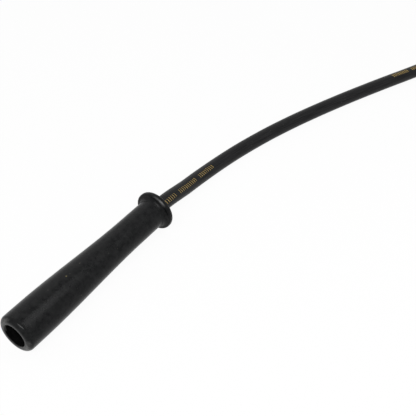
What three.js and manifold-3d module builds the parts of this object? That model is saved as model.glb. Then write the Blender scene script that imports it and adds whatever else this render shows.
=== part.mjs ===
// Spark plug wire: a long straight rubber boot with its snap terminal, an 8 mm ignition wire,
// and the short straight boot and terminal of the distributor end. Millimetres, +Z up.
// The plug boot lies on its side along X, mouth towards -X, with the origin on the surface below
// its middle. The wire leaves it towards +X, drops to the surface and ends in a tied hank.
import * as THREE from 'three';
import { mergeVertices } from 'three/addons/utils/BufferGeometryUtils.js';
import Module from 'manifold-3d';

const wasm = await Module();
wasm.setup();

// Clearances
const seatGap = 0.3;
const floorGap = 0.02;

// Wire and its core
const wireDiameter = 8;
const coreDiameter = 1.2;

// Plug boot, outside
const bootLength = 99;
const mouthRadius = 9.52;
const mouthRound = 2.4;
const barrelLength = 14.6;
const taperLength = 60;
const taperEase = 0.75;
const neckRadius = 7.6;
const lipRadius = 10.5;
const lipThickness = 3.0;
const lipFillet = 1.9;
const lipFrontRound = 0.9;
const lipBackRound = 1.3;

// Plug boot, inside
const mouthOpening = 6.3;
const mouthRim = 0.3;
const countersinkDepth = 1.6;
const insulatorBore = 5.9;
const insulatorDepth = 36;
const sealHeight = 0.4;
const sealLand = 1.1;
const sealFlank = 0.8;
const sealPlaces = [3.0, 9.6, 16.2];
const boreEntry = 0.7;
const pocketRoom = 1.2;
const pocketSlope = 0.5;

// Snap terminal of the plug end
const sheet = 0.45;
const socketRadius = 3.2;
const socketFlare = 0.5;
const flareLength = 1;
const socketLength = 10;
const socketHalfAngle = 160;
const channelHalfAngle = 72;
const channelLength = 7.5;
const channelRamp = 1.6;
const channelTail = 3.2;
const crimpLength = 8;
const crimpHalfAngle = 166;
const crimpThroat = 1.2;
const wingStep = 0.2;
const terminalSetback = 1.0;

// Stripped core: a stub, a bend and the part that lies back under the wire
const coreStub = 1.1;
const coreBend = 1.6;
const coreInset = 1;

// Retaining spring of the socket
const clipWire = 0.9;
const clipPlace = 4.2;
const clipLegDrop = 2.2;
const clipLegRise = 1.3;
const clipBowStart = 48;
const clipGrip = 0.3;

// Distributor boot, outside
const capBootLength = 42;
const capBandRadius = 10;
const capBodyRadius = 9.2;
const capNippleRadius = 6.6;
const capNippleLength = 8;
const capNippleBevel = 0.5;
const capShoulder = 4;
const capBackBand = 4;
const capMouthBand = 6;
const capBandRound = 1.0;
const capGripRings = 3;
const capGripHeight = 0.5;
const capGripFoot = 0.6;
const capGripCrest = 0.3;

// Distributor boot, inside
const towerBore = 7.1;
const towerBevel = 0.7;
const capCrimpStart = 13;
const capMouthDepth = 6.5;

// Distributor terminal
const pinRadius = 3.0;
const pinBulge = 0.55;
const pinHalfAngle = 158;
const pinSetback = 5.4;
const pinRamp = 1.4;
const pinBulgeSetback = 4;
const pinBulgeHalf = 2.4;
const pinTipTaper = 0.8;
const pinTipDrop = 0.3;

// Hank, tie and the place of the distributor boot
const hankLeft = 407;
const hankRight = 500;
const hankRunY = -62;
const rightFold = 28;
const leftFold = 24;
const innerRunEnd = 426;
const hankEdge = 2;
const strap = 0.8;
const strapWidth = 5;
const strapCorner = 1.2;
const tieInset = 6;
const tieHead = { across: 6.5, along: 6, height: 3.6 };
const tieSlot = { width: 4, height: 1.26, rise: 1.62 };
const tieTail = { width: 3.6, length: 3.5, sink: 0.05 };
const capBootX = 458;
const capBootAside = 0.7;

// Facets
const bootSides = 48;
const capSides = 40;
const cordSides = 10;
const cordSteps = 26;
const tailSteps = 5;
const wireSides = 24;
const coreSides = 8;

const wireRadius = wireDiameter / 2;
const wireBore = wireRadius + seatGap;
const hankLift = strap + seatGap;
const hankHeight = hankLift + wireRadius;

// Where the free wire runs on the surface, from the boot's lip to the hank
const runRoute = [
  [49.8, 0, 10.53], [54.5, 0.1, 10.5], [60.5, 0.25, 9.8], [67, 0.4, 8.65], [73.5, 0.5, 7.5],
  [84.7, 0.7, 6.0], [95.6, 0.4, 4.95], [106.2, -0.45, 4.35], [116.4, -1.8, 4.1], [126.4, -3.55, 4],
  [145.7, -7.95, 4], [164.8, -13.35, 4], [183.6, -19.5, 4], [202.5, -26.3, 4], [221.5, -33.65, 4],
  [240.7, -41.5, 4], [252, -46.3, 4], [263.6, -51.1, 4], [276, -55.7, 4], [289, -59.2, 4],
  [302, -61.3, 4], [315, -62, 4], [337, -62, 4], [360, -62, 4], [383, -62, 4.3], [406.7, -62, 5.1],
];

// From the end of the hank's inner run up to the distributor boot that lies inside the loop
const tailRoute = [
  [426.3, -54, 5.1], [431, -53.9, 5.15], [436, -52.9, 5.8], [442, -50.65, 7.55], [448, -48.4, 9.3],
  [453, -47.4, 9.95], [457.7, -47.3, 10.02],
];

const materials = {
  rubber: new THREE.MeshStandardMaterial({ color: 0x26282a, roughness: 0.55, metalness: 0 }),
  jacket: new THREE.MeshStandardMaterial({ color: 0x1f1f22, roughness: 0.5, metalness: 0 }),
  steel: new THREE.MeshStandardMaterial({ color: 0xb4b4b0, roughness: 0.35, metalness: 1 }),
  brass: new THREE.MeshStandardMaterial({ color: 0xb8924a, roughness: 0.35, metalness: 1 }),
  core: new THREE.MeshStandardMaterial({ color: 0x2b2a2a, roughness: 0.8, metalness: 0 }),
  nylon: new THREE.MeshStandardMaterial({ color: 0x18181a, roughness: 0.5, metalness: 0 }),
};

// Points of a round stretch of a profile: centre, radius and the two angles in degrees
function arc(centreX, centreR, radius, from, to, steps) {
  const points = [];
  for (let i = 0; i <= steps; i += 1) {
    const angle = THREE.MathUtils.degToRad(from + ((to - from) * i) / steps);
    points.push([centreX + radius * Math.cos(angle), centreR + radius * Math.sin(angle)]);
  }
  return points;
}

// A ring-shaped solid of revolution about X, from a closed profile of [place along X, radius]
function revolve(profile, sides) {
  const loop = [...profile, profile[0]].map(([x, r]) => new THREE.Vector2(r, x));
  const geometry = new THREE.LatheGeometry(loop, sides);
  geometry.rotateZ(-Math.PI / 2);
  return geometry;
}

// A round cord of the given diameter along a curve
function cord(curve, diameter, steps, sides) {
  const section = new THREE.Shape();
  for (let i = 0; i < sides; i += 1) {
    const angle = (2 * Math.PI * i) / sides;
    const x = (diameter / 2) * Math.cos(angle);
    const y = (diameter / 2) * Math.sin(angle);
    if (i === 0) section.moveTo(x, y);
    else section.lineTo(x, y);
  }
  section.closePath();
  return new THREE.ExtrudeGeometry(section, { steps, bevelEnabled: false, extrudePath: curve });
}

function smoothRoute(points) {
  return new THREE.CatmullRomCurve3(points.map((p) => new THREE.Vector3(...p)), false, 'centripetal');
}

function wireAlong(points, steps) {
  return cord(smoothRoute(points), wireDiameter, steps, cordSides);
}

// A round rod along X
function rod(from, to, radius, sides) {
  const geometry = new THREE.CylinderGeometry(radius, radius, to - from, sides);
  geometry.rotateZ(-Math.PI / 2);
  geometry.translate((from + to) / 2, 0, 0);
  return geometry;
}

function toSolid(geometry) {
  const bare = geometry.clone();
  bare.deleteAttribute('normal');
  bare.deleteAttribute('uv');
  const merged = mergeVertices(bare, 1e-4);
  const triVerts = new Uint32Array(merged.index.array);
  const vertProperties = new Float32Array(merged.attributes.position.array);
  return new wasm.Manifold(new wasm.Mesh({ numProp: 3, vertProperties, triVerts }));
}

function toGeometry(solid) {
  const result = solid.getMesh();
  const geometry = new THREE.BufferGeometry();
  geometry.setAttribute('position', new THREE.BufferAttribute(result.vertProperties, 3));
  geometry.setIndex(new THREE.BufferAttribute(result.triVerts, 1));
  geometry.computeVertexNormals();
  return geometry;
}

function mesh(name, geometry, material) {
  const piece = new THREE.Mesh(geometry, material);
  piece.name = name;
  return piece;
}

// Sheet metal folded round X. Each station is a place along X with the inside radius, how far the
// sheet reaches up each side from its spine at the bottom, and how far its centre is dropped.
function foldedSheet(stations, thickness, columns) {
  const positions = [];
  const index = [];
  const rows = stations.length;
  for (const layer of [0, thickness]) {
    for (const { x, radius, half, drop } of stations) {
      for (let j = 0; j <= columns; j += 1) {
        const angle = THREE.MathUtils.degToRad(half * ((2 * j) / columns - 1));
        const reach = radius + layer;
        positions.push(x, reach * Math.sin(angle), -drop - reach * Math.cos(angle));
      }
    }
  }
  const at = (layer, i, j) => layer * rows * (columns + 1) + i * (columns + 1) + j;
  const quad = (a, b, c, d) => index.push(a, b, c, a, c, d);
  for (let i = 0; i < rows - 1; i += 1) {
    for (let j = 0; j < columns; j += 1) {
      quad(at(1, i, j), at(1, i, j + 1), at(1, i + 1, j + 1), at(1, i + 1, j));
      quad(at(0, i, j), at(0, i + 1, j), at(0, i + 1, j + 1), at(0, i, j + 1));
    }
    quad(at(0, i, 0), at(1, i, 0), at(1, i + 1, 0), at(0, i + 1, 0));
    quad(at(0, i, columns), at(0, i + 1, columns), at(1, i + 1, columns), at(1, i, columns));
  }
  for (let j = 0; j < columns; j += 1) {
    quad(at(0, 0, j), at(0, 0, j + 1), at(1, 0, j + 1), at(1, 0, j));
    const last = rows - 1;
    quad(at(0, last, j), at(1, last, j), at(1, last, j + 1), at(0, last, j + 1));
  }
  const geometry = new THREE.BufferGeometry();
  geometry.setAttribute('position', new THREE.Float32BufferAttribute(positions, 3));
  geometry.setIndex(index);
  geometry.computeVertexNormals();
  return geometry;
}

// The crimp holds the wire with its core folded back under it, so it sits lower than the wire
const coreSpace = coreDiameter + 2 * seatGap;
const crimpDrop = (coreSpace - seatGap) / 2;
const crimpRadius = wireRadius + seatGap + crimpDrop;
const crimpReach = crimpRadius + crimpDrop + sheet;
const crimpPocket = crimpReach + seatGap;
const wireSetback = wingStep + seatGap;

// Places along the plug boot, from its mouth
const terminalStart = insulatorDepth + terminalSetback;
const socketEnd = terminalStart + socketLength;
const crimpStart = socketEnd + channelLength;
const crimpEnd = crimpStart + crimpLength;
const channelFrom = socketEnd + channelRamp;
const channelTo = crimpStart - channelTail;
const clipRadius = socketRadius + sheet + seatGap + clipWire / 2;
const socketPocket = clipRadius + clipWire / 2 + seatGap;

// The crimp barrel with the wire's stripped end in it, shared by both terminals
function crimpStations(start) {
  const barrel = { radius: crimpRadius, drop: crimpDrop };
  return [
    { x: start - crimpThroat, half: channelHalfAngle, ...barrel },
    { x: start, half: channelHalfAngle, ...barrel },
    { x: start + wingStep, half: crimpHalfAngle, ...barrel },
    { x: start + crimpLength, half: crimpHalfAngle, ...barrel },
  ];
}

// The core leaves the wire's end, turns back and lies under the wire in the crimp
function foldedCore(wireEnd, crimpFar) {
  const under = wireRadius + seatGap + coreDiameter / 2;
  const fold = under / 2;
  const bend = [];
  for (let i = 1; i < 6; i += 1) {
    const angle = (Math.PI * i) / 6;
    const out = coreStub + coreBend * Math.sin(angle);
    bend.push([wireEnd - out, 0, -fold + fold * Math.cos(angle)]);
  }
  const route = [
    [wireEnd - seatGap, 0, 0],
    [wireEnd - coreStub, 0, 0],
    ...bend,
    [wireEnd - coreStub, 0, -under],
    [wireEnd + coreInset, 0, -under],
    [crimpFar - coreInset, 0, -under],
  ];
  return cord(smoothRoute(route), coreDiameter, 18, coreSides);
}

// Outline of the plug boot: rounded mouth, barrel, long taper, neck and the pull lip
function bootOutside() {
  const lipFront = bootLength - lipThickness;
  const taperTo = barrelLength + taperLength;
  const taper = [];
  const rings = 8;
  for (let i = 0; i <= rings; i += 1) {
    const t = i / rings;
    const ease = (1 - taperEase) * t + taperEase * t * t * (3 - 2 * t);
    taper.push([barrelLength + taperLength * t, mouthRadius + (neckRadius - mouthRadius) * ease]);
  }
  return [
    ...arc(mouthRound, mouthRadius - mouthRound, mouthRound, 180, 90, 5),
    ...taper,
    [(taperTo + lipFront) / 2, neckRadius],
    ...arc(lipFront - lipFillet, neckRadius + lipFillet, lipFillet, -90, 0, 4),
    ...arc(lipFront + lipFrontRound, lipRadius - lipFrontRound, lipFrontRound, 180, 90, 3),
    ...arc(bootLength - lipBackRound, lipRadius - lipBackRound, lipBackRound, 90, 0, 4),
  ];
}

// The bore from the wire's end to the mouth: wire bore, crimp pocket, socket pocket, insulator bore
function bootInside() {
  const sealPoints = [...sealPlaces].reverse().flatMap((place) => [
    [place + sealLand + sealFlank, insulatorBore],
    [place + sealLand, insulatorBore - sealHeight],
    [place, insulatorBore - sealHeight],
    [place - sealFlank, insulatorBore],
  ]);
  const crimpPocketEnd = crimpEnd + pocketRoom;
  return [
    [bootLength, wireBore + boreEntry],
    [bootLength - boreEntry, wireBore],
    [crimpPocketEnd + crimpPocket - wireBore, wireBore],
    [crimpPocketEnd, crimpPocket],
    [channelTo - pocketSlope, crimpPocket],
    [channelFrom, socketPocket],
    [insulatorDepth + pocketSlope, socketPocket],
    [insulatorDepth, insulatorBore],
    ...sealPoints,
    [countersinkDepth, insulatorBore],
    ...arc(mouthRim, mouthOpening, mouthRim, 270, 180, 3),
  ];
}

// The socket that snaps on the plug's nut: flared sleeve, channel and crimp, with side slots
function plugTerminal() {
  const socket = { drop: 0, half: socketHalfAngle };
  const stations = [
    { x: terminalStart, radius: socketRadius + socketFlare, ...socket },
    { x: terminalStart + flareLength, radius: socketRadius, ...socket },
    { x: socketEnd, radius: socketRadius, ...socket },
    { x: channelFrom, radius: socketRadius, half: channelHalfAngle, drop: 0 },
    { x: channelTo, radius: crimpRadius, half: channelHalfAngle, drop: crimpDrop },
    ...crimpStations(crimpStart),
  ];
  let solid = toSolid(foldedSheet(stations, sheet, 24));
  const slotWidth = clipWire + 2 * seatGap;
  const slotTop = clipLegDrop + clipWire / 2 + seatGap;
  const slotFloor = socketRadius - clipGrip - clipWire - seatGap;
  for (const side of [-1, 1]) {
    const slot = new THREE.BoxGeometry(slotWidth, socketRadius, 2 * slotTop);
    slot.translate(terminalStart + clipPlace, side * (slotFloor + socketRadius / 2), 0);
    solid = solid.subtract(toSolid(slot));
  }
  return toGeometry(solid);
}

// A spring of round wire: two straight legs in the socket's slots, joined by a bow over the top
function terminalClip() {
  const legY = socketRadius - clipGrip + clipWire / 2;
  const place = terminalStart + clipPlace;
  const bow = [];
  const bowSteps = 10;
  for (let i = 0; i <= bowSteps; i += 1) {
    const turn = 180 - 2 * clipBowStart;
    const angle = THREE.MathUtils.degToRad(clipBowStart + (turn * i) / bowSteps);
    bow.push([place, clipRadius * Math.cos(angle), clipRadius * Math.sin(angle)]);
  }
  const route = [
    [place, legY, -clipLegDrop],
    [place, legY, 0],
    [place, legY, clipLegRise],
    ...bow,
    [place, -legY, clipLegRise],
    [place, -legY, 0],
    [place, -legY, -clipLegDrop],
  ];
  return cord(smoothRoute(route), clipWire, 24, coreSides);
}

// Outline of the distributor boot, from the wire's side to its mouth
function capBootOutside() {
  const bandFrom = capNippleLength + capShoulder;
  const bandTo = bandFrom + capBackBand;
  const mouthFrom = capBootLength - capMouthBand;
  const step = capBandRadius - capBodyRadius;
  const grips = [];
  const pitch = capNippleLength / (capGripRings + 1);
  for (let i = 1; i <= capGripRings; i += 1) {
    const place = pitch * i;
    grips.push(
      [place - capGripFoot, capNippleRadius],
      [place - capGripCrest, capNippleRadius + capGripHeight],
      [place + capGripCrest, capNippleRadius + capGripHeight],
      [place + capGripFoot, capNippleRadius],
    );
  }
  return [
    [0, capNippleRadius - capNippleBevel],
    [capNippleBevel, capNippleRadius],
    ...grips,
    [capNippleLength, capNippleRadius],
    [bandFrom, capBandRadius],
    [bandTo, capBandRadius],
    [bandTo + step, capBodyRadius],
    [mouthFrom - step, capBodyRadius],
    [mouthFrom, capBandRadius],
    ...arc(capBootLength - capBandRound, capBandRadius - capBandRound, capBandRound, 90, 0, 4),
  ];
}

function capBootInside() {
  const pocketEnd = capCrimpStart + crimpLength + crimpThroat + seatGap;
  const pocketStart = capCrimpStart - pocketRoom;
  return [
    [capBootLength, towerBore + towerBevel],
    [capBootLength - towerBevel, towerBore],
    [pocketEnd + pocketSlope, towerBore],
    [pocketEnd, crimpPocket],
    [pocketStart, crimpPocket],
    [pocketStart - (crimpPocket - wireBore), wireBore],
    [boreEntry, wireBore],
    [0, wireBore + boreEntry],
  ];
}

// The rolled sleeve that pushes into the distributor's tower, with a sprung bulge near its tip
function capTerminal() {
  const crimpFar = capCrimpStart + crimpLength;
  const tip = capBootLength - capMouthDepth;
  const sleeve = { half: pinHalfAngle, drop: 0 };
  const sleeveStart = crimpFar + pinSetback;
  const bulgeStart = tip - pinBulgeSetback - pinBulgeHalf;
  const bulge = [];
  const bulgeSteps = 6;
  for (let i = 0; i <= bulgeSteps; i += 1) {
    const swell = Math.sin((Math.PI * i) / bulgeSteps) ** 2;
    const x = bulgeStart + (2 * pinBulgeHalf * i) / bulgeSteps;
    bulge.push({ x, radius: pinRadius + pinBulge * swell, ...sleeve });
  }
  const barrelEnds = capCrimpStart + crimpFar;
  const barrel = crimpStations(capCrimpStart).map((s) => ({ ...s, x: barrelEnds - s.x }));
  const stations = [
    ...barrel.reverse(),
    { x: sleeveStart - pinRamp, radius: pinRadius, half: channelHalfAngle, drop: 0 },
    { x: sleeveStart, radius: pinRadius, ...sleeve },
    ...bulge,
    { x: tip - pinTipTaper, radius: pinRadius, ...sleeve },
    { x: tip, radius: pinRadius - pinTipDrop, ...sleeve },
  ];
  return foldedSheet(stations, sheet, 20);
}

// Outer shape of the hank: two folds and the runs between them, with the loop left open.
// Its lower run is two wires wide where the inner run lies beside the incoming one.
function hankOutline() {
  const low = hankRunY - wireRadius;
  const rightCentre = hankRunY + rightFold;
  const topRun = hankRunY + 2 * rightFold;
  const leftCentre = topRun - leftFold;
  const quarter = Math.PI / 2;
  const outline = new THREE.Shape();
  outline.moveTo(hankLeft, low);
  outline.lineTo(hankRight, low);
  outline.absarc(hankRight, rightCentre, rightFold + wireRadius, -quarter, quarter, false);
  outline.lineTo(hankLeft, topRun + wireRadius);
  outline.absarc(hankLeft, leftCentre, leftFold + wireRadius, quarter, 3 * quarter, false);
  outline.closePath();
  const inner = new THREE.Path();
  inner.moveTo(hankLeft, topRun - wireRadius);
  inner.lineTo(hankRight, topRun - wireRadius);
  inner.absarc(hankRight, rightCentre, rightFold - wireRadius, quarter, -quarter, true);
  inner.lineTo(innerRunEnd, hankRunY + wireRadius);
  inner.lineTo(innerRunEnd, topRun - 2 * leftFold + wireRadius);
  inner.lineTo(hankLeft, topRun - 2 * leftFold + wireRadius);
  inner.absarc(hankLeft, leftCentre, leftFold - wireRadius, -quarter, -3 * quarter, true);
  outline.holes.push(inner);
  return outline;
}

function wireHank() {
  const geometry = new THREE.ExtrudeGeometry(hankOutline(), {
    depth: wireDiameter - 2 * hankEdge,
    curveSegments: 12,
    bevelEnabled: true,
    bevelThickness: hankEdge,
    bevelSize: hankEdge,
    bevelOffset: -hankEdge,
    bevelSegments: 1,
  });
  geometry.translate(0, 0, hankLift + hankEdge);
  return geometry;
}

function roundedRectangle(target, halfWidth, halfHeight, radius) {
  const x = halfWidth - radius;
  const y = halfHeight - radius;
  const quarter = Math.PI / 2;
  target.moveTo(halfWidth, -y);
  target.lineTo(halfWidth, y);
  target.absarc(x, y, radius, 0, quarter, false);
  target.lineTo(-x, halfHeight);
  target.absarc(-x, y, radius, quarter, 2 * quarter, false);
  target.lineTo(-halfWidth, -y);
  target.absarc(-x, -y, radius, 2 * quarter, 3 * quarter, false);
  target.lineTo(x, -halfHeight);
  target.absarc(x, -y, radius, 3 * quarter, 4 * quarter, false);
}

// A strap round the two wires that lie side by side. Its end passes through the locking head on top
function hankTie() {
  const innerHalfWidth = wireDiameter + seatGap;
  const innerHalfHeight = wireRadius + seatGap;
  const outerHalfWidth = innerHalfWidth + strap;
  const outerHalfHeight = innerHalfHeight + strap;
  const band = new THREE.Shape();
  roundedRectangle(band, outerHalfWidth, outerHalfHeight, strapCorner + strap);
  const opening = new THREE.Path();
  roundedRectangle(opening, innerHalfWidth, innerHalfHeight, strapCorner);
  band.holes.push(opening);
  const ring = new THREE.ExtrudeGeometry(band, {
    depth: strapWidth,
    curveSegments: 3,
    bevelEnabled: false,
  });
  const head = new THREE.BoxGeometry(tieHead.across, tieHead.height, tieHead.along);
  head.translate(0, innerHalfHeight + strap / 2 + tieHead.height / 2, strapWidth / 2);
  const slot = new THREE.BoxGeometry(tieSlot.width, tieSlot.height, tieHead.along * 2);
  slot.rotateY(Math.PI / 2);
  slot.translate(0, outerHalfHeight + tieSlot.rise, strapWidth / 2);
  const tailFloor = outerHalfHeight + tieSlot.rise - tieSlot.height / 2 - tieTail.sink;
  const tail = new THREE.BoxGeometry(tieHead.across + tieTail.length, strap, tieTail.width);
  tail.translate(tieTail.length / 2, tailFloor + strap / 2, strapWidth / 2);
  const lockedHead = toSolid(head).subtract(toSolid(slot)).add(toSolid(tail));
  const solid = toSolid(ring).add(lockedHead);
  const geometry = toGeometry(solid);
  geometry.rotateX(Math.PI / 2);
  geometry.rotateZ(Math.PI / 2);
  return geometry;
}

// The plug boot lies on its mouth's barrel and on its lip, so its axis is slightly tilted
const mouthContact = mouthRound;
const lipContact = bootLength - lipThickness + lipFrontRound;
const bootTilt = Math.atan2(lipRadius - mouthRadius, lipContact - mouthContact);
const bootHeight = mouthRadius * Math.cos(bootTilt) + (bootLength / 2 - mouthContact) * Math.sin(bootTilt);

const plugWireStart = crimpStart + wireSetback;
const plugBoot = revolve([...bootOutside(), ...bootInside()], bootSides);
const plugEnd = new THREE.Group();
plugEnd.rotation.y = -bootTilt;
plugEnd.position.set(-(bootLength / 2) * Math.cos(bootTilt), 0,
  bootHeight - (bootLength / 2) * Math.sin(bootTilt));
plugEnd.add(
  mesh('plug_boot', plugBoot, materials.rubber),
  mesh('plug_terminal', plugTerminal(), materials.steel),
  mesh('terminal_clip', terminalClip(), materials.steel),
  mesh('plug_conductor', foldedCore(plugWireStart, crimpEnd), materials.core),
  mesh('wire_plug_end', rod(plugWireStart, bootLength, wireRadius, wireSides), materials.jacket),
);

// The distributor boot lies inside the loop beside the hank's lower run, mouth towards +X
const capBootY = hankRunY + wireRadius + capBootAside + capBandRadius;
const capCore = foldedCore(wireSetback, crimpLength);
capCore.rotateZ(Math.PI);
capCore.translate(capCrimpStart + crimpLength, 0, 0);
const capWireEnd = capCrimpStart + crimpLength - wireSetback;
const capBoot = revolve([...capBootOutside(), ...capBootInside()], capSides);
const capEnd = new THREE.Group();
capEnd.position.set(capBootX, capBootY, capBandRadius + floorGap);
capEnd.add(
  mesh('distributor_boot', capBoot, materials.rubber),
  mesh('distributor_terminal', capTerminal(), materials.brass),
  mesh('distributor_conductor', capCore, materials.core),
  mesh('wire_distributor_end', rod(0, capWireEnd, wireRadius, wireSides), materials.jacket),
);

const tie = mesh('hank_tie', hankTie(), materials.nylon);
tie.position.set(hankLeft + tieInset, hankRunY + wireRadius, hankHeight);

const sparkPlugWire = new THREE.Group();
sparkPlugWire.add(
  plugEnd,
  mesh('wire_run', wireAlong(runRoute, cordSteps), materials.jacket),
  mesh('wire_hank', wireHank(), materials.jacket),
  mesh('wire_tail', wireAlong(tailRoute, tailSteps), materials.jacket),
  tie,
  capEnd,
);

export default sparkPlugWire;
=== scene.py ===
"""Spark plug wire: the looks of the boots, the wire, its print and the tied hank. Metres, row frame."""
import math

import bmesh
import bpy
from mathutils import Matrix, Vector


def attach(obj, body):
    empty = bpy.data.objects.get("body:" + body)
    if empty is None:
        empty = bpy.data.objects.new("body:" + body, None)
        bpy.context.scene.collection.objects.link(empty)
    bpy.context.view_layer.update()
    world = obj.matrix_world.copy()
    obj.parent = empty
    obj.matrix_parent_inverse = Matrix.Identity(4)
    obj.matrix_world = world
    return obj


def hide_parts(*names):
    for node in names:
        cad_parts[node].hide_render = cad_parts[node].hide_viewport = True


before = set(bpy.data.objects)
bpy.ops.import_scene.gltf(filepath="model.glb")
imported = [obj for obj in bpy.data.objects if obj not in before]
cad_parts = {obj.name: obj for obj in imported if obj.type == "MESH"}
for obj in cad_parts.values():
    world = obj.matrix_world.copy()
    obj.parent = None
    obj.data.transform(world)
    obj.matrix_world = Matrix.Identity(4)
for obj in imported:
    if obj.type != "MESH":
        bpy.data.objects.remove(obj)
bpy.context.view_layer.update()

MM = 0.001

# The gap that touching pieces keep
GAP = 0.3 * MM

# The plug boot's form, as in the construction
BOOT_LENGTH = 99 * MM
MOUTH_RADIUS = 9.52 * MM
MOUTH_ROUND = 2.4 * MM
BARREL_LENGTH = 14.6 * MM
TAPER_LENGTH = 60 * MM
TAPER_EASE = 0.75
NECK_RADIUS = 7.6 * MM
LIP_RADIUS = 10.5 * MM
LIP_THICKNESS = 3.0 * MM
LIP_FRONT = BOOT_LENGTH - LIP_THICKNESS
LIP_FILLET = 1.9 * MM
LIP_FRONT_ROUND = 0.9 * MM
LIP_BACK_ROUND = 1.3 * MM
MOUTH_OPENING = 6.3 * MM
COUNTERSINK = 1.6 * MM
INSULATOR_BORE = 5.9 * MM
INSULATOR_DEPTH = 36 * MM
SEAL_HEIGHT = 0.4 * MM
SEAL_LAND = 1.1 * MM
SEAL_FLANK = 0.8 * MM
SEAL_PLACES = (3.0 * MM, 9.6 * MM, 16.2 * MM)
SOCKET_POCKET = 5.15 * MM
CHANNEL_FROM = 48.6 * MM
CHANNEL_TO = 51.3 * MM
CRIMP_POCKET = 6.55 * MM
CRIMP_POCKET_END = 63.7 * MM
BORE_ENTRY = 0.7 * MM
RIM_ROUND = 0.3 * MM
RIM_BAND = 0.12 * MM
POCKET_SLOPE = 0.5 * MM
BOOT_SIDES = 144

# The wire and its route, repeated from the construction; the points are in millimetres
WIRE_RADIUS = 4 * MM
WIRE_BORE = WIRE_RADIUS + GAP
WIRE_END = 55 * MM
WIRE_STEP = 2 * MM
WIRE_SIDES = 48
RUN = [
    (49.8, 0, 10.53), (54.5, 0.1, 10.5), (60.5, 0.25, 9.8), (67, 0.4, 8.65), (73.5, 0.5, 7.5),
    (84.7, 0.7, 6.0), (95.6, 0.4, 4.95), (106.2, -0.45, 4.35), (116.4, -1.8, 4.1), (126.4, -3.55, 4),
    (145.7, -7.95, 4), (164.8, -13.35, 4), (183.6, -19.5, 4), (202.5, -26.3, 4), (221.5, -33.65, 4),
    (240.7, -41.5, 4), (252, -46.3, 4), (263.6, -51.1, 4), (276, -55.7, 4), (289, -59.2, 4),
    (302, -61.3, 4), (315, -62, 4), (337, -62, 4), (360, -62, 4), (383, -62, 4.3), (406.7, -62, 5.1),
]
TAIL = [
    (426.3, -54, 5.1), (431, -53.9, 5.15), (436, -52.9, 5.8), (442, -50.65, 7.55), (448, -48.4, 9.3),
    (453, -47.4, 9.95), (457.7, -47.3, 10.02),
]
HELD_IN_CAP = (2, 9, 15, 20.5)
HANK_LEFT = 407 * MM
HANK_RIGHT = 500 * MM
HANK_Y = -62 * MM
RIGHT_FOLD = 28 * MM
LEFT_FOLD = 24 * MM
HANK_HEIGHT = 5.1 * MM
FAR_HEIGHT = 4.05 * MM

# How far inside the lip's back the free wire starts and the held wire ends
FREE_WIRE_INSET = 0.6 * MM
HELD_WIRE_INSET = 0.7 * MM

# The distributor boot's form and place
CAP_X = 458 * MM
CAP_Y = -47.3 * MM
CAP_Z = 10.02 * MM
CAP_LENGTH = 42 * MM
CAP_BAND = 10 * MM
CAP_BODY = 9.2 * MM
CAP_NIPPLE = 6.6 * MM
CAP_NIPPLE_LENGTH = 8 * MM
CAP_SHOULDER = 4 * MM
CAP_BACK_BAND = 4 * MM
CAP_MOUTH_BAND = 6 * MM
CAP_ROUND = 1.0 * MM
CAP_BEVEL = 0.5 * MM
CAP_RINGS = 3
CAP_RING_HEIGHT = 0.5 * MM
CAP_RING_SHARE = 0.3
TOWER_BORE = 7.1 * MM
TOWER_BEVEL = 0.7 * MM
CAP_CRIMP = 13 * MM
CRIMP_LENGTH = 8 * MM
CRIMP_THROAT = 1.2 * MM
POCKET_ROOM = 1.2 * MM
POCKET_RAMP = 0.7
CAP_SIDES = 112

# How far inside its edge a band starts to slope, and how far on the points lie that keep it flat
CAP_EDGE = 0.3 * MM
CAP_FLAT = 1 * MM

# The camera, solved from the wire's width and the mouth's ellipse
CAMERA_TARGET = Vector((74.40 * MM, -14.54 * MM, 0))
CAMERA_HEADING = math.radians(34.7068)
CAMERA_ELEVATION = math.radians(41.0)
CAMERA_DISTANCE = 388.72 * MM
FOCAL_PIXELS = 734.8
PHOTO_PIXELS = 416
SENSOR_WIDTH = 36.0
HALF_PIXEL = 0.5 / PHOTO_PIXELS


def ease(t):
    """0 to 1 along an S, level at both ends."""
    return t * t * (3 - 2 * t)


def smooth_line(points, step):
    """A centripetal Catmull-Rom line through points, resampled about evenly."""
    pts = [Vector(p) for p in points]
    pts = [2 * pts[0] - pts[1], *pts, 2 * pts[-1] - pts[-2]]
    fine = 24
    dense = []
    for i in range(1, len(pts) - 2):
        p0, p1, p2, p3 = pts[i - 1:i + 3]
        t0 = 0.0
        t1 = t0 + math.sqrt((p1 - p0).length)
        t2 = t1 + math.sqrt((p2 - p1).length)
        t3 = t2 + math.sqrt((p3 - p2).length)
        for k in range(fine):
            t = t1 + (t2 - t1) * k / fine
            a1 = p0 * ((t1 - t) / (t1 - t0)) + p1 * ((t - t0) / (t1 - t0))
            a2 = p1 * ((t2 - t) / (t2 - t1)) + p2 * ((t - t1) / (t2 - t1))
            a3 = p2 * ((t3 - t) / (t3 - t2)) + p3 * ((t - t2) / (t3 - t2))
            b1 = a1 * ((t2 - t) / (t2 - t0)) + a2 * ((t - t0) / (t2 - t0))
            b2 = a2 * ((t3 - t) / (t3 - t1)) + a3 * ((t - t1) / (t3 - t1))
            dense.append(b1 * ((t2 - t) / (t2 - t1)) + b2 * ((t - t1) / (t2 - t1)))
    dense.append(pts[-2])
    return resample(dense, step)


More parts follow.
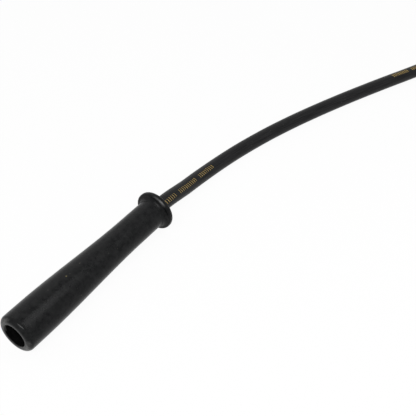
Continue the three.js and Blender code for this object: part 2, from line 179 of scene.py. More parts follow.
def resample(points, step):
    """The same line with points a step apart."""
    lengths = [0.0]
    for a, b in zip(points, points[1:]):
        lengths.append(lengths[-1] + (b - a).length)
    count = max(2, round(lengths[-1] / step) + 1)
    out = []
    j = 0
    for i in range(count):
        s = lengths[-1] * i / (count - 1)
        while j < len(points) - 2 and lengths[j + 1] < s:
            j += 1
        span = lengths[j + 1] - lengths[j]
        f = 0.0 if span == 0 else (s - lengths[j]) / span
        out.append(points[j].lerp(points[j + 1], f))
    return out


def new_object(name, verts, faces, materials, smooth=True):
    """A mesh object in the scene."""
    mesh = bpy.data.meshes.new(name)
    mesh.from_pydata([tuple(v) for v in verts], [], faces)
    mesh.validate()
    for m in materials:
        mesh.materials.append(m)
    for p in mesh.polygons:
        p.use_smooth = smooth
    obj = bpy.data.objects.new(name, mesh)
    bpy.context.scene.collection.objects.link(obj)
    return obj


def outward(obj):
    """Turns all faces of a closed mesh outwards."""
    work = bmesh.new()
    work.from_mesh(obj.data)
    bmesh.ops.recalc_face_normals(work, faces=work.faces)
    work.to_mesh(obj.data)
    work.free()


def arc(cx, cr, radius, start, end, steps):
    """Round stretch of a profile between two angles, as (place along the axis, radius) pairs."""
    out = []
    for i in range(steps + 1):
        a = math.radians(start + (end - start) * i / steps)
        out.append((cx + radius * math.cos(a), cr + radius * math.sin(a)))
    return out


def revolved(name, profile, sides, place, materials, finish=None):
    """A ring-shaped solid of revolution from a closed profile; place(x, y, z) puts it in the frame.
    finish(x, r) says which of the materials a stretch of the profile has."""
    verts = []
    faces = []
    for x, r in profile:
        for j in range(sides):
            a = 2 * math.pi * j / sides
            verts.append(place(x, r * math.sin(a), r * math.cos(a)))
    rows = len(profile)
    for i in range(rows):
        for j in range(sides):
            k = (j + 1) % sides
            n = (i + 1) % rows
            faces.append((i * sides + j, n * sides + j, n * sides + k, i * sides + k))
    obj = new_object(name, verts, faces, materials)
    if finish:
        for i, (x, r) in enumerate(profile):
            ahead_x, ahead_r = profile[(i + 1) % rows]
            chosen = finish((x + ahead_x) / 2, (r + ahead_r) / 2)
            for j in range(sides):
                obj.data.polygons[i * sides + j].material_index = chosen
    outward(obj)
    return obj


def swept(name, line, radius, sides, materials):
    """A round rod along line, closed at both ends, with a UV of length and angle."""
    verts = []
    faces = []
    uvs = []
    tangents = []
    for i in range(len(line)):
        a = line[max(i - 1, 0)]
        b = line[min(i + 1, len(line) - 1)]
        tangents.append((b - a).normalized())
    side = tangents[0].cross(Vector((0, 0, 1))).normalized()
    travelled = 0.0
    for i, (p, t) in enumerate(zip(line, tangents)):
        side = (side - t * side.dot(t)).normalized()
        up = side.cross(t).normalized()
        if i:
            travelled += (p - line[i - 1]).length
        for j in range(sides):
            a = 2 * math.pi * j / sides
            verts.append(p + side * (radius * math.cos(a)) + up * (radius * math.sin(a)))
            uvs.append((travelled, j / sides))
    for i in range(len(line) - 1):
        for j in range(sides):
            k = (j + 1) % sides
            faces.append((i * sides + j, i * sides + k, (i + 1) * sides + k, (i + 1) * sides + j))
    first = len(verts)
    verts.append(line[0])
    verts.append(line[-1])
    uvs += [(0.0, 0.5), (travelled, 0.5)]
    last_ring = (len(line) - 1) * sides
    for j in range(sides):
        k = (j + 1) % sides
        faces.append((first, k, j))
        faces.append((first + 1, last_ring + j, last_ring + k))
    obj = new_object(name, verts, faces, materials)
    layer = obj.data.uv_layers.new(name="along")
    for poly in obj.data.polygons:
        ring = [obj.data.loops[i].vertex_index for i in poly.loop_indices]
        wraps = max(uvs[v][1] for v in ring) - min(uvs[v][1] for v in ring) > 0.5
        for i, v in zip(poly.loop_indices, ring):
            u, w = uvs[v]
            layer.data[i].uv = (u, w + 1.0 if wraps and w < 0.5 else w)
    outward(obj)
    return obj


# Where the two boots are

BOOT_TILT = math.atan2(LIP_RADIUS - MOUTH_RADIUS, LIP_FRONT + LIP_FRONT_ROUND - MOUTH_ROUND)
BOOT_HEIGHT = (MOUTH_RADIUS * math.cos(BOOT_TILT)
               + (BOOT_LENGTH / 2 - MOUTH_ROUND) * math.sin(BOOT_TILT))


def in_boot(x, y, z):
    """A point of the plug boot, x from its mouth along its axis, in the row frame."""
    along = x - BOOT_LENGTH / 2
    c, s = math.cos(BOOT_TILT), math.sin(BOOT_TILT)
    return Vector((along * c - z * s, y, BOOT_HEIGHT + along * s + z * c))


def in_cap(x, y, z):
    """A point of the distributor boot, x from its wire side, in the row frame."""
    return Vector((CAP_X + x, CAP_Y + y, CAP_Z + z))


def taper_radius(t):
    """The plug boot's radius at a share t of its taper."""
    share = (1 - TAPER_EASE) * t + TAPER_EASE * ease(t)
    return MOUTH_RADIUS + (NECK_RADIUS - MOUTH_RADIUS) * share


def boot_profile():
    """The plug boot's closed section: outside from the mouth to the lip, then back along the bore."""
    out = [(0, MOUTH_OPENING + RIM_BAND), (0, MOUTH_RADIUS - MOUTH_ROUND)]
    out += arc(MOUTH_ROUND, MOUTH_RADIUS - MOUTH_ROUND, MOUTH_ROUND, 174, 90, 9)
    out += [(MOUTH_ROUND + (BARREL_LENGTH - MOUTH_ROUND) * i / 8, MOUTH_RADIUS) for i in range(1, 8)]
    out += [(BARREL_LENGTH + TAPER_LENGTH * i / 30, taper_radius(i / 30)) for i in range(31)]
    neck_from = BARREL_LENGTH + TAPER_LENGTH
    neck_to = LIP_FRONT - LIP_FILLET
    out += [(neck_from + (neck_to - neck_from) * i / 8, NECK_RADIUS) for i in range(1, 8)]
    out += arc(neck_to, NECK_RADIUS + LIP_FILLET, LIP_FILLET, -90, 0, 10)
    out += arc(LIP_FRONT + LIP_FRONT_ROUND, LIP_RADIUS - LIP_FRONT_ROUND, LIP_FRONT_ROUND, 180, 90, 8)
    out += arc(BOOT_LENGTH - LIP_BACK_ROUND, LIP_RADIUS - LIP_BACK_ROUND, LIP_BACK_ROUND, 90, 0, 8)
    out += [(BOOT_LENGTH, WIRE_BORE + BORE_ENTRY), (BOOT_LENGTH - BORE_ENTRY, WIRE_BORE)]
    out += [(CRIMP_POCKET_END + CRIMP_POCKET - WIRE_BORE, WIRE_BORE), (CRIMP_POCKET_END, CRIMP_POCKET)]
    out += [(CHANNEL_TO - POCKET_SLOPE, CRIMP_POCKET), (CHANNEL_FROM, SOCKET_POCKET)]
    out += [(INSULATOR_DEPTH + POCKET_SLOPE, SOCKET_POCKET), (INSULATOR_DEPTH, INSULATOR_BORE)]
    for place in reversed(SEAL_PLACES):
        for i in range(9):
            t = i / 8
            x = place + SEAL_LAND + SEAL_FLANK - t * (SEAL_LAND + 2 * SEAL_FLANK)
            out.append((x, INSULATOR_BORE - SEAL_HEIGHT * math.sin(math.pi * t) ** 0.8))
    out += [(COUNTERSINK, INSULATOR_BORE)]
    out += arc(RIM_ROUND, MOUTH_OPENING, RIM_ROUND, 270, 180, 8)
    return out


def boot_finish(x, r):
    """0 is the outside, 1 the bore and 2 the rim of the mouth, grey with a painted reflection."""
    if x < RIM_ROUND and r < MOUTH_OPENING + RIM_BAND:
        return 2
    return 1 if x < BOOT_LENGTH - BORE_ENTRY and r <= CRIMP_POCKET else 0


def cap_profile():
    """The distributor boot's closed section, from the wire side to its mouth and back."""
    band_from = CAP_NIPPLE_LENGTH + CAP_SHOULDER
    band_to = band_from + CAP_BACK_BAND
    mouth_from = CAP_LENGTH - CAP_MOUTH_BAND
    step = CAP_BAND - CAP_BODY
    out = arc(CAP_BEVEL, CAP_NIPPLE - CAP_BEVEL, CAP_BEVEL, 180, 90, 4)
    pitch = CAP_NIPPLE_LENGTH / (CAP_RINGS + 1)
    for ring in range(1, CAP_RINGS + 1):
        for i in range(9):
            x = pitch * ring + pitch * CAP_RING_SHARE * (i / 4 - 1)
            out.append((x, CAP_NIPPLE + CAP_RING_HEIGHT * math.cos(math.pi * (i / 8 - 0.5)) ** 0.7))
    out += [(CAP_NIPPLE_LENGTH, CAP_NIPPLE)]
    for i in range(1, 9):
        t = i / 8
        out.append((CAP_NIPPLE_LENGTH + CAP_SHOULDER * t, CAP_NIPPLE + (CAP_BAND - CAP_NIPPLE) * ease(t)))
    out += [(band_from + CAP_FLAT, CAP_BAND), (band_to - CAP_EDGE, CAP_BAND)]
    out += [(band_to + step * 0.5, (CAP_BAND + CAP_BODY) / 2), (band_to + step, CAP_BODY)]
    out += [(band_to + step + CAP_FLAT, CAP_BODY), (mouth_from - step - CAP_FLAT, CAP_BODY)]
    out += [(mouth_from - step, CAP_BODY), (mouth_from - step * 0.5, (CAP_BAND + CAP_BODY) / 2)]
    out += [(mouth_from + CAP_EDGE, CAP_BAND), (CAP_LENGTH - CAP_ROUND - CAP_FLAT, CAP_BAND)]
    out += arc(CAP_LENGTH - CAP_ROUND, CAP_BAND - CAP_ROUND, CAP_ROUND, 90, 0, 6)
    out += [(CAP_LENGTH, TOWER_BORE + TOWER_BEVEL), (CAP_LENGTH - TOWER_BEVEL, TOWER_BORE)]
    pocket_end = CAP_CRIMP + CRIMP_LENGTH + CRIMP_THROAT + GAP
    pocket_start = CAP_CRIMP - POCKET_ROOM
    ramp_end = pocket_start - (CRIMP_POCKET - WIRE_BORE) * POCKET_RAMP
    out += [(pocket_end + POCKET_SLOPE, TOWER_BORE), (pocket_end, CRIMP_POCKET)]
    out += [(pocket_start, CRIMP_POCKET), (ramp_end, WIRE_BORE)]
    out += [(BORE_ENTRY, WIRE_BORE), (0, WIRE_BORE + BORE_ENTRY)]
    return out


def cap_finish(x, r):
    """0 is the outside and 1 the bore."""
    return 1 if BORE_ENTRY < x < CAP_LENGTH - BORE_ENTRY and r <= TOWER_BORE else 0


def wire_line():
    """The whole free wire's centreline: run, hank, tail and the end held in the far boot."""
    quarter = math.pi / 2
    top = HANK_Y + 2 * RIGHT_FOLD
    right = Vector((HANK_RIGHT, HANK_Y + RIGHT_FOLD, 0))
    left = Vector((HANK_LEFT, top - LEFT_FOLD, 0))
    points = []
    for centre, radius, start in ((right, RIGHT_FOLD, -quarter), (left, LEFT_FOLD, quarter)):
        for i in range(19):
            a = start + math.pi * i / 18
            points.append(centre + Vector((radius * math.cos(a), radius * math.sin(a), 0)))
    settled = []
    for p in points:
        sink = min(1.0, max(0.0, (p.x - HANK_LEFT) / (HANK_RIGHT - HANK_LEFT)))
        settled.append((p.x, p.y, HANK_HEIGHT + (FAR_HEIGHT - HANK_HEIGHT) * ease(sink)))
    run = [tuple(c * MM for c in p) for p in RUN]
    tail = [tuple(c * MM for c in p) for p in TAIL]
    held = [tuple(in_cap(x * MM, 0, 0)) for x in HELD_IN_CAP]
    start = tuple(in_boot(BOOT_LENGTH - FREE_WIRE_INSET, 0, 0))
    return smooth_line([start, *run, *settled, *tail, *held], WIRE_STEP)


# Materials

# Unit directions along the plug boot, and across it 33 degrees round from its top
ALONG = (1.0, 0.0, 0.0)
BACK = (-1.0, 0.0, 0.0)
UPPER_SIDE = (0.0, -0.548, 0.836)
LOWER_SIDE = (0.0, -0.836, -0.548)
FAR_SIDE = (0.0, 0.836, 0.548)

# The gold fleck on the plug boot
FLECK_PLACE = (-16.85 * MM, -1.1 * MM, 18.82 * MM)
FLECK_RADIUS = 0.4 * MM

# The range that holds most of a noise's values
NOISE_LOW = 0.3
NOISE_HIGH = 0.7

# Colours, as the dark and the pale end of each mottle and what lies on it
RUBBER_DARK = (0.0018, 0.002, 0.0024)
RUBBER_PALE = (0.0094, 0.0097, 0.01)
RUBBER_DUST = (0.05, 0.045, 0.038)
FLECK_GOLD = (0.15, 0.125, 0.06)
# Painted highlights, pale grey at both sides of the mouth's end
MOUTH_PAINTED_HIGHLIGHT = (0.085, 0.084, 0.081)
# Painted highlight on the lip's front edge
LIP_PAINTED_HIGHLIGHT = (0.15, 0.15, 0.148)
# Painted shade: the bore's rubber, darker than the same rubber outside
BORE_PAINTED_SHADE_DARK = (0.0014, 0.0014, 0.0015)
BORE_PAINTED_SHADE_PALE = (0.0042, 0.0041, 0.0041)
# Painted light on the bore's far wall at the mouth
BORE_PAINTED_LIGHT = (0.08, 0.08, 0.078)
# The rim's grey is a painted reflection of the floor; its darker colour underneath is painted shade
RIM_PAINTED_REFLECTION_DARK = (0.018, 0.018, 0.0175)
RIM_PAINTED_REFLECTION_PALE = (0.056, 0.055, 0.052)
RIM_PAINTED_SHADE = (0.004, 0.004, 0.004)
JACKET_DARK = (0.001, 0.0012, 0.0016)
JACKET_PALE = (0.0145, 0.0145, 0.015)
JACKET_DUST = (0.05, 0.048, 0.045)
INK_THIN = (0.14, 0.09, 0.028)
INK_GOLD = (0.42, 0.29, 0.09)
INK_THICK = (0.6, 0.43, 0.15)
STEEL_DULL = (0.44, 0.43, 0.41)
STEEL_BRIGHT = (0.66, 0.66, 0.64)
BRASS_DARK = (0.34, 0.22, 0.075)
BRASS_GOLD = (0.62, 0.44, 0.17)
BRASS_BRIGHT = (0.72, 0.53, 0.24)
CORE_DARK = (0.012, 0.012, 0.013)
CORE_PALE = (0.045, 0.044, 0.043)
NYLON_DARK = (0.008, 0.008, 0.009)
NYLON_PALE = (0.017, 0.017, 0.018)
BLACK = (0.0, 0.0, 0.0)
WHITE = (1.0, 1.0, 1.0)


def add_node(tree, kind, values=None, **settings):
    """A new node with values on its inputs and settings of its own."""
    node = tree.nodes.new(kind)
    for key, value in settings.items():
        setattr(node, key, value)
    for key, value in (values or {}).items():
        node.inputs[key].default_value = value
    return node


def new_material(name, specular, metallic=0.0):
    """A new material, with its node tree and its shader."""
    mat = bpy.data.materials.new(name)
    mat.use_nodes = True
    shader = mat.node_tree.nodes["Principled BSDF"]
    shader.inputs["Specular IOR Level"].default_value = specular
    shader.inputs["Metallic"].default_value = metallic
    return mat, mat.node_tree, shader


def noise(tree, vector, scale, detail=2.0, roughness=0.5):
    """A noise's value at a place; a higher scale makes it finer."""
    node = add_node(tree, "ShaderNodeTexNoise",
                    {"Scale": scale, "Detail": detail, "Roughness": roughness})
    tree.links.new(vector, node.inputs["Vector"])
    return node.outputs["Fac"]


def ramp(tree, source, stops):
    """A colour ramp; stops are (position, (r, g, b)) in order."""
    node = add_node(tree, "ShaderNodeValToRGB")
    elements = node.color_ramp.elements
    while len(elements) < len(stops):
        elements.new(0.5)
    for element, (position, colour) in zip(elements, stops):
        element.position = position
        element.color = (*colour, 1.0)
    tree.links.new(source, node.inputs["Fac"])
    return node.outputs["Color"]


def shades(tree, source, dark, pale):
    """A colour that follows a noise from dark to pale."""
    return ramp(tree, source, [(NOISE_LOW, dark), (NOISE_HIGH, pale)])


def spread(tree, source, low, high, to_low, to_high):
    """The source's range from low to high, stretched to another range."""
    node = add_node(tree, "ShaderNodeMapRange",
                    {"From Min": low, "From Max": high, "To Min": to_low, "To Max": to_high})
    tree.links.new(source, node.inputs["Value"])
    return node.outputs["Result"]


def uneven(tree, source, low, high):
    """A value that follows a noise between two ends."""
    return spread(tree, source, NOISE_LOW, NOISE_HIGH, low, high)


def mix_colour(tree, factor, base, colour):
    """The base where the factor is 0 and the plain colour where it is 1."""
    node = add_node(tree, "ShaderNodeMix", data_type="RGBA")
    tree.links.new(factor, node.inputs["Factor"])
    tree.links.new(base, node.inputs["A"])
    node.inputs["B"].default_value = (*colour, 1.0)
    return node.outputs["Result"]


def combine(tree, operation, first, second):
    """The result of a mathematical operation on two sockets or numbers."""
    node = add_node(tree, "ShaderNodeMath", operation=operation)
    for socket, value in zip(node.inputs, (first, second)):
        if isinstance(value, (int, float)):
            socket.default_value = value
        else:
            tree.links.new(value, socket)
    return node.outputs["Value"]


def dress(tree, shader, base, rough, height, strength, distance):
    """Gives the shader its base colour, its roughness and a bump of a strength and a depth."""
    tree.links.new(base, shader.inputs["Base Color"])
    tree.links.new(rough, shader.inputs["Roughness"])
    node = add_node(tree, "ShaderNodeBump", {"Strength": strength, "Distance": distance})
    tree.links.new(height, node.inputs["Height"])
    tree.links.new(node.outputs["Normal"], shader.inputs["Normal"])


def object_space(tree, scale=(1.0, 1.0, 1.0)):
    """Places on the object in metres, stretched."""
    coordinates = add_node(tree, "ShaderNodeTexCoord")
    mapping = add_node(tree, "ShaderNodeMapping", {"Scale": scale})
    tree.links.new(coordinates.outputs["Object"], mapping.inputs["Vector"])
    return mapping.outputs["Vector"]


def stretch_between(tree, direction, start, end, both_ways=False):
    """0 up to start and 1 from end, counted in metres along a direction of the row frame from the middle
    of the plug boot's mouth, or away from there both ways."""
    mouth = in_boot(0, 0, 0)
    coordinates = add_node(tree, "ShaderNodeTexCoord")
    dot = add_node(tree, "ShaderNodeVectorMath", {1: direction}, operation="DOT_PRODUCT")
    tree.links.new(coordinates.outputs["Object"], dot.inputs[0])
    distance = combine(tree, "SUBTRACT", dot.outputs["Value"], mouth.dot(Vector(direction)))
    if both_ways:
        distance = combine(tree, "ABSOLUTE", distance, 0.0)
    return spread(tree, distance, start, end, 0.0, 1.0)


def spot(tree, place, point, radius):
    """1 at a point of the row frame, falling to 0 at a radius."""
    node = add_node(tree, "ShaderNodeVectorMath", {1: point}, operation="DISTANCE")
    tree.links.new(place, node.inputs[0])
    return spread(tree, node.outputs["Value"], 0.6 * radius, radius, 1.0, 0.0)


def along_wire(tree, scale):
    """The wire's own length and angle, stretched."""
    layer = add_node(tree, "ShaderNodeUVMap", uv_map="along")
    mapping = add_node(tree, "ShaderNodeMapping", {"Scale": scale})
    tree.links.new(layer.outputs["UV"], mapping.inputs["Vector"])
    return mapping.outputs["Vector"]


def dusted(tree, place, scale, base, dust):
    """The base colour with a few dust specks on it."""
    specks = ramp(tree, noise(tree, place, scale, 0.0), [(0.83, BLACK), (0.87, WHITE)])
    return mix_colour(tree, specks, base, dust)


def painted_mouth_highlights(tree, mottle):
    """Where highlights are painted on the mouth's end: pale grey in patches, on both sides."""
    sides = stretch_between(tree, LOWER_SIDE, 5.4 * MM, 7.4 * MM, both_ways=True)
    end = stretch_between(tree, BACK, -1.3 * MM, -0.4 * MM)
    patchy = combine(tree, "MULTIPLY", end, spread(tree, mottle, 0.4, 0.62, 0.15, 1.0))
    return combine(tree, "MULTIPLY", sides, patchy)


def painted_lip_highlight(tree, mottle):
    """Where a highlight is painted on the lip's front edge: a patch on its upper side, more of it towards
    the far side.
    """
    front = stretch_between(tree, ALONG, LIP_FRONT - 0.15 * MM, LIP_FRONT)
    back = stretch_between(tree, BACK, -LIP_FRONT - 0.75 * MM, -LIP_FRONT - 0.3 * MM)
    far = stretch_between(tree, LOWER_SIDE, -6.2 * MM, -0.5 * MM)
    near = stretch_between(tree, FAR_SIDE, -2.2 * MM, 0.4 * MM)
    above = stretch_between(tree, UPPER_SIDE, 5.0 * MM, 7.0 * MM)
    painted_highlight = spread(tree, mottle, 0.3, 0.6, 0.6, 1.0)
    for part in (front, back, far, near, above):
        painted_highlight = combine(tree, "MULTIPLY", painted_highlight, part)
    return painted_highlight


def rubber_material():
    """Satin black moulded rubber: a fine grain, faint mottling, a few dust specks, one gold fleck,
    painted highlights on both sides of the mouth's end and on the lip's front edge, and a polished mouth
    shoulder."""
    mat, tree, shader = new_material("boot_rubber", 0.11)
    place = object_space(tree)
    mottle = noise(tree, place, 380, 3.0, 0.65)
    grain = noise(tree, place, 2400, 2.0, 0.6)
    base = ramp(tree, mottle, [(0.34, RUBBER_DARK), (0.66, RUBBER_PALE)])
    base = dusted(tree, place, 1100, base, RUBBER_DUST)
    base = mix_colour(tree, spot(tree, place, FLECK_PLACE, FLECK_RADIUS), base, FLECK_GOLD)
    # Painted highlights at both sides of the mouth's end
    base = mix_colour(tree, painted_mouth_highlights(tree, mottle), base, MOUTH_PAINTED_HIGHLIGHT)
    # Painted highlight on the lip's front edge
    base = mix_colour(tree, painted_lip_highlight(tree, mottle), base, LIP_PAINTED_HIGHLIGHT)
    polish = spread(tree, stretch_between(tree, ALONG, 2.2 * MM, 3.2 * MM), 0.0, 1.0, 0.6, 1.0)
    rough = combine(tree, "MULTIPLY", uneven(tree, mottle, 0.24, 0.36), polish)
    height = combine(tree, "ADD", grain, combine(tree, "MULTIPLY", mottle, 1.2))
    dress(tree, shader, base, rough, height, 0.25, 0.05 * MM)
    return mat


def bore_material():
    """The same rubber inside the bore: dull, darker than outside as painted shade, and with painted light
    on the far side of the mouth.
    """
    mat, tree, shader = new_material("boot_rubber_inside", 0.02)
    mottle = noise(tree, object_space(tree), 700, 3.0, 0.6)
    # Painted shade: darker than the outside rubber
    base = shades(tree, mottle, BORE_PAINTED_SHADE_DARK, BORE_PAINTED_SHADE_PALE)
    # Painted light: pale grey on the bore's far wall at the mouth
    side = stretch_between(tree, LOWER_SIDE, -5.4 * MM, -4.0 * MM)
    end = stretch_between(tree, ALONG, 0.5 * MM, 1.2 * MM)
    whole = combine(tree, "MAXIMUM", side, end)
    base = mix_colour(tree, combine(tree, "SUBTRACT", 1.0, whole), base, BORE_PAINTED_LIGHT)
    dress(tree, shader, base, uneven(tree, mottle, 0.7, 0.9), mottle, 0.25, 0.05 * MM)
    return mat


def rim_material():
    """The trimmed edge round the mouth: grey as a painted reflection of the floor, with painted shade
    keeping it dark underneath.
    """
    mat, tree, shader = new_material("boot_rubber_rim", 0.25)
    rim_mottle = noise(tree, object_space(tree), 900, 3.0, 0.6)
    # Painted reflection of the floor, grey in a mottle
    base = shades(tree, rim_mottle, RIM_PAINTED_REFLECTION_DARK, RIM_PAINTED_REFLECTION_PALE)
    # Painted shade: darker underneath
    painted_highlight = stretch_between(tree, UPPER_SIDE, -4.8 * MM, -2.5 * MM)
    base = mix_colour(tree, combine(tree, "SUBTRACT", 1.0, painted_highlight), base, RIM_PAINTED_SHADE)
    dress(tree, shader, base, uneven(tree, rim_mottle, 0.35, 0.55), rim_mottle, 0.3, 0.05 * MM)
    return mat


def jacket_material():
    """Satin black silicone with fine lengthwise drawing marks, a faint weave showing through and dust."""
    mat, tree, shader = new_material("wire_jacket", 0.12)
    streaks = noise(tree, along_wire(tree, (60, 46, 1)), 1.0, 3.0, 0.65)
    place = object_space(tree)
    grain = noise(tree, place, 2600, 2.0, 0.6)
    weave = add_node(tree, "ShaderNodeTexWave", {"Scale": 1.0, "Distortion": 1.6, "Detail": 2.0},
                     wave_type="BANDS", bands_direction="DIAGONAL")
    tree.links.new(along_wire(tree, (620, 12, 1)), weave.inputs["Vector"])
    base = ramp(tree, streaks, [(0.34, JACKET_DARK), (0.66, JACKET_PALE)])
    base = dusted(tree, place, 1300, base, JACKET_DUST)
    height = combine(tree, "ADD", grain, combine(tree, "MULTIPLY", streaks, 0.9))
    height = combine(tree, "ADD", height, combine(tree, "MULTIPLY", weave.outputs["Fac"], 0.6))
    dress(tree, shader, base, uneven(tree, streaks, 0.3, 0.46), height, 0.2, 0.05 * MM)
    return mat


def ink_material():
    """Gold ink, thin and uneven, so the black shows through in places."""
    mat, tree, shader = new_material("print_gold", 0.3)
    place = object_space(tree)
    patches = noise(tree, place, 1500, 3.0, 0.7)
    base = ramp(tree, patches, [(0.3, INK_THIN), (0.48, INK_GOLD), (0.75, INK_THICK)])
    rough = uneven(tree, patches, 0.38, 0.6)
    dress(tree, shader, base, rough, noise(tree, place, 3000, 2.0), 0.15, 0.03 * MM)
    return mat


def rolled_marks(tree):
    """The fine lines that rolling leaves along sheet metal."""
    return noise(tree, object_space(tree, (500, 4200, 4200)), 1.0, 3.0, 0.6)


def steel_material():
    """Plated sheet steel: fine rolling marks and dull patches."""
    mat, tree, shader = new_material("terminal_steel", 0.5, 1.0)
    rolled = rolled_marks(tree)
    base = shades(tree, noise(tree, object_space(tree), 500, 3.0, 0.6), STEEL_DULL, STEEL_BRIGHT)
    dress(tree, shader, base, uneven(tree, rolled, 0.24, 0.44), rolled, 0.12, 0.03 * MM)
    return mat


def brass_material():
    """Rolled sheet brass, a little darkened with handling."""
    mat, tree, shader = new_material("terminal_brass", 0.5, 1.0)
    rolled = rolled_marks(tree)
    patches = noise(tree, object_space(tree), 420, 4.0, 0.65)
    base = ramp(tree, patches, [(0.3, BRASS_DARK), (0.55, BRASS_GOLD), (0.75, BRASS_BRIGHT)])
    dress(tree, shader, base, uneven(tree, rolled, 0.26, 0.46), rolled, 0.12, 0.03 * MM)
    return mat


def core_material():
    """Carbon-loaded core: dark grey, fibrous and matt."""
    mat, tree, shader = new_material("wire_core", 0.3)
    fibres = noise(tree, object_space(tree, (300, 5000, 5000)), 1.0, 3.0, 0.7)
    base = shades(tree, fibres, CORE_DARK, CORE_PALE)
    dress(tree, shader, base, uneven(tree, fibres, 0.5, 0.7), fibres, 0.3, 0.05 * MM)
    return mat


def nylon_material():
    """Black moulded nylon, finely pebbled."""
    mat, tree, shader = new_material("tie_nylon", 0.4)
    place = object_space(tree)
    pebbles = noise(tree, place, 1800, 2.0, 0.6)
    base = shades(tree, noise(tree, place, 260, 3.0, 0.6), NYLON_DARK, NYLON_PALE)
    dress(tree, shader, base, uneven(tree, pebbles, 0.36, 0.52), pebbles, 0.2, 0.04 * MM)
    return mat


rubber = rubber_material()
bore_rubber = bore_material()
rim_rubber = rim_material()
jacket = jacket_material()
ink = ink_material()
steel = steel_material()
brass = brass_material()
core = core_material()
nylon = nylon_material()


# Boots and wire

plug_boot = revolved("boot_body", boot_profile(), BOOT_SIDES, in_boot,
                     [rubber, bore_rubber, rim_rubber], boot_finish)
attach(plug_boot, "root")
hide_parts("plug_boot")

far_boot = revolved("distributor_boot_body", cap_profile(), CAP_SIDES, in_cap,
                    [rubber, bore_rubber], cap_finish)
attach(far_boot, "root")
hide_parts("distributor_boot")

line = wire_line()
wire = swept("wire_jacket_free", line, WIRE_RADIUS, WIRE_SIDES, [jacket])
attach(wire, "root")
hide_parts("wire_run", "wire_hank", "wire_tail", "wire_distributor_end")

held_line = resample([in_boot(WIRE_END, 0, 0), in_boot(BOOT_LENGTH - HELD_WIRE_INSET, 0, 0)], WIRE_STEP)
held_wire = swept("wire_jacket_held", held_line, WIRE_RADIUS, WIRE_SIDES, [jacket])
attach(held_wire, "root")
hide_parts("wire_plug_end")


# Print: plain gold strokes in groups, on the wire's upper near side

# Half the print's height, and how far it stands out of the jacket and sinks into it
PRINT_HALF = 1.2 * MM
PRINT_OUT = 0.03 * MM
PRINT_IN = 0.04 * MM

# A stroke's lean along the wire, the pitch of the strokes, and the steps that curve them
STROKE_SLANT = 0.3
STROKE_PITCH = 1.5 * MM
STROKE_STEPS = 6

# Where each group starts in the print, and its number of strokes
PRINT_GROUPS = ((0.4 * MM, 9), (16.6 * MM, 11), (36.0 * MM, 9))

# The distance along the wire from one print to the next
PRINT_REPEAT = 201.2 * MM


def wire_place(distance):
    """The centreline's point, and the upward and sideways unit vectors, at a distance along it."""
    travelled = 0.0
    for a, b in zip(line, line[1:]):
        step = (b - a).length
        if travelled + step >= distance:
            break
        travelled += step
    here = a.lerp(b, min(1.0, (distance - travelled) / step))
    along = (b - a).normalized()
    aside = along.cross(Vector((0, 0, 1))).normalized()
    return here, aside.cross(along).normalized(), aside


def printed_strokes(name, first, width, turned, twist=0.0):
    """Groups of slanted strokes, each a thin curved slab that sinks into the jacket. They are turned
    from the wire's top towards its near side, and twist by an angle per metre."""
    verts = []
    faces = []
    for start, count in PRINT_GROUPS:
        for stroke in range(count):
            at = first + start + stroke * STROKE_PITCH
            base = len(verts)
            for radius in (WIRE_RADIUS + PRINT_OUT, WIRE_RADIUS - PRINT_IN):
                for j in range(STROKE_STEPS + 1):
                    height = PRINT_HALF * (2 * j / STROKE_STEPS - 1)
                    angle = turned + twist * (at - first) + height / WIRE_RADIUS
                    for edge in (-0.5, 0.5):
                        here, up, aside = wire_place(at + edge * width + height * STROKE_SLANT)
                        verts.append(here + (up * math.cos(angle) + aside * math.sin(angle)) * radius)
            layer = 2 * (STROKE_STEPS + 1)
            for j in range(STROKE_STEPS):
                k = base + 2 * j
                faces.append((k, k + 1, k + 3, k + 2))
                faces.append((k + layer, k + layer + 2, k + layer + 3, k + layer + 1))
                faces.append((k, k + 2, k + layer + 2, k + layer))
                faces.append((k + 1, k + layer + 1, k + layer + 3, k + 3))
            for k in (base, base + layer - 2):
                faces.append((k, k + 1, k + layer + 1, k + layer))
    obj = new_object(name, verts, faces, [ink], smooth=False)
    outward(obj)
    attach(obj, "root")
    return obj


prints = [
    printed_strokes("print_near_boot", first=0.0, width=0.26 * MM, turned=math.radians(51),
                    twist=math.radians(-470)),
    printed_strokes("print_second", first=PRINT_REPEAT, width=0.42 * MM, turned=math.radians(13)),
    printed_strokes("print_third", first=2 * PRINT_REPEAT, width=0.42 * MM, turned=math.radians(25)),
]


# Nodes that keep their own shape

for node, mat in (("plug_terminal", steel), ("terminal_clip", steel), ("plug_conductor", core),
                  ("distributor_terminal", brass), ("distributor_conductor", core), ("hank_tie", nylon)):
    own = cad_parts[node].data.materials
    for i in range(len(own)):
        own[i] = mat


# Floor, light and camera

FLOOR_HALF = 4.0
FLOOR_DROP = 0.05 * MM
FLOOR_GREY = (0.9, 0.9, 0.9, 1.0)
PLAIN_WHITE = (1.0, 1.0, 1.0, 1.0)

# The share of plain white in the floor that is seen; the rest takes the light and the shadow
FLOOR_SHARE = 0.94

# The world's strength as light, and as the white that is seen
WORLD_LIGHT = 0.5
WORLD_SEEN = 1.0

# What the lamps face: the top of the plug boot's mouth, and the boot's middle
MOUTH_TOP = (-45 * MM, -4 * MM, 17 * MM)
BOOT_MIDDLE = (0.0, 0.0, 10 * MM)


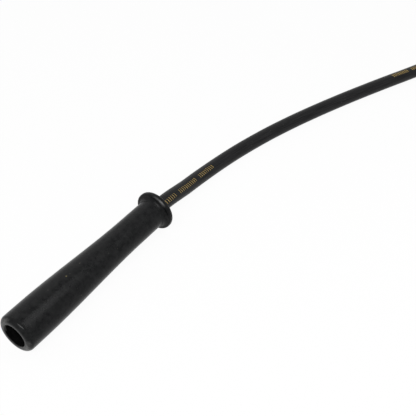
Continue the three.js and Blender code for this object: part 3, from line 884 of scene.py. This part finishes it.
def floor_material():
    """Pale floor: plain white to the camera and in reflections, and it keeps a soft shadow."""
    mat = bpy.data.materials.new("studio_floor")
    mat.use_nodes = True
    tree = mat.node_tree
    tree.nodes.clear()
    out = add_node(tree, "ShaderNodeOutputMaterial")
    paper = add_node(tree, "ShaderNodeBsdfDiffuse", {"Color": FLOOR_GREY})
    glow = add_node(tree, "ShaderNodeEmission", {"Color": PLAIN_WHITE, "Strength": 1.0})
    blend = add_node(tree, "ShaderNodeMixShader")
    share = combine(tree, "MULTIPLY", seen_rays(tree), FLOOR_SHARE)
    tree.links.new(share, blend.inputs["Fac"])
    tree.links.new(paper.outputs["BSDF"], blend.inputs[1])
    tree.links.new(glow.outputs["Emission"], blend.inputs[2])
    tree.links.new(blend.outputs["Shader"], out.inputs["Surface"])
    return mat


def seen_rays(tree):
    """1 for a ray from the camera, a reflection or a transmission, and 0 for light."""
    rays = add_node(tree, "ShaderNodeLightPath")
    both = combine(tree, "MAXIMUM", rays.outputs["Is Camera Ray"], rays.outputs["Is Glossy Ray"])
    return combine(tree, "MAXIMUM", both, rays.outputs["Is Transmission Ray"])


floor = new_object("studio_floor", [(-FLOOR_HALF, -FLOOR_HALF, 0), (FLOOR_HALF, -FLOOR_HALF, 0),
                                    (FLOOR_HALF, FLOOR_HALF, 0), (-FLOOR_HALF, FLOOR_HALF, 0)],
                   [(0, 1, 2, 3)], [floor_material()], smooth=False)
floor.location.z = -FLOOR_DROP

world = bpy.data.worlds.new("studio")
world.use_nodes = True
bpy.context.scene.world = world
world_tree = world.node_tree
background = world_tree.nodes["Background"]
background.inputs["Color"].default_value = PLAIN_WHITE
world_strength = spread(world_tree, seen_rays(world_tree), 0.0, 1.0, WORLD_LIGHT, WORLD_SEEN)
world_tree.links.new(world_strength, background.inputs["Strength"])


def softbox(name, target, direction, distance, lengthwise, size, radiance):
    """A rectangular lamp of a given brightness that faces target from a direction. Its long side lies
    along lengthwise."""
    facing = -Vector(direction).normalized()
    long_side = Vector(lengthwise)
    long_side = (long_side - facing * long_side.dot(facing)).normalized()
    lamp = bpy.data.lights.new(name, "AREA")
    lamp.shape = "RECTANGLE"
    lamp.size, lamp.size_y = size
    lamp.energy = radiance * math.pi * size[0] * size[1]
    obj = bpy.data.objects.new(name, lamp)
    turn = Matrix((long_side, long_side.cross(facing), -facing)).transposed()
    obj.matrix_world = Matrix.Translation(Vector(target) - facing * distance) @ turn.to_4x4()
    bpy.context.scene.collection.objects.link(obj)


softbox("window", MOUTH_TOP, direction=(-0.45, -0.31, 0.82), distance=0.7,
        lengthwise=(0.26, -0.63, -0.11), size=(0.5, 0.12), radiance=15.0)
softbox("band", MOUTH_TOP, direction=(0.40, -0.44, 0.80), distance=0.5,
        lengthwise=(0.0, 1.0, 0.5), size=(0.3, 0.06), radiance=6.5)
softbox("upper", BOOT_MIDDLE, direction=(0.4, 0.5, 0.75), distance=0.8,
        lengthwise=ALONG, size=(0.5, 0.4), radiance=0.45)

camera_data = bpy.data.cameras.new("camera")
camera_data.sensor_width = SENSOR_WIDTH
camera_data.sensor_fit = "HORIZONTAL"
camera_data.lens = SENSOR_WIDTH * FOCAL_PIXELS / PHOTO_PIXELS
camera_data.clip_start = 0.01
camera_data.clip_end = 20.0
camera_data.shift_x = -HALF_PIXEL
camera_data.shift_y = HALF_PIXEL
camera = bpy.data.objects.new("camera", camera_data)
facing = Vector((math.cos(CAMERA_HEADING) * math.cos(CAMERA_ELEVATION),
                 math.sin(CAMERA_HEADING) * math.cos(CAMERA_ELEVATION),
                 -math.sin(CAMERA_ELEVATION)))
camera.location = CAMERA_TARGET - facing * CAMERA_DISTANCE
camera.rotation_euler = facing.to_track_quat("-Z", "Y").to_euler()
bpy.context.scene.collection.objects.link(camera)
bpy.context.scene.camera = camera
bpy.context.scene.view_settings.view_transform = "Standard"
